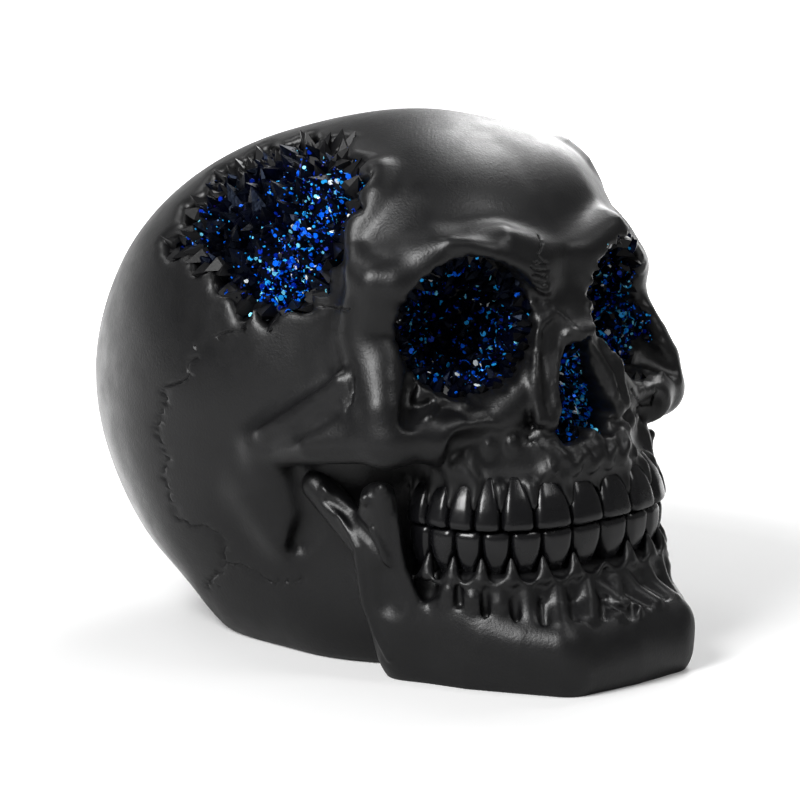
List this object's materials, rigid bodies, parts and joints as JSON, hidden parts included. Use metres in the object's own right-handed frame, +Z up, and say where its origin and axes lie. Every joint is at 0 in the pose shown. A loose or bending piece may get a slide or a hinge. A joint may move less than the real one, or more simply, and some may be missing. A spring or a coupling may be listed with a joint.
{
  "type": "geode skull ornament",
  "caption": "Free-standing cast skull ornament in satin black, with blue druse crystals set in its temple, eye sockets and nose opening, resting on its flat base and jaw.",
  "frame": {"origin": "on the table, under the middle of the skull's bounding box", "axes": "+Z up, the face towards -Y, the skull's right side towards -X"},
  "size_m": [0.117, 0.1592, 0.128],
  "materials": {
    "satin_resin": "satin black cast resin",
    "gloss_resin": "glossy black cast resin",
    "blue_druse": "blue glitter crystals on black resin"
  },
  "bodies": {
    "root": {"cranium": "satin_resin", "mandible": "satin_resin", "upper_tooth_row": "gloss_resin", "lower_tooth_row": "gloss_resin", "temple_geode": "blue_druse", "right_eye_geode": "blue_druse", "left_eye_geode": "blue_druse", "nasal_geode": "blue_druse"}
  },
  "joints": []
}
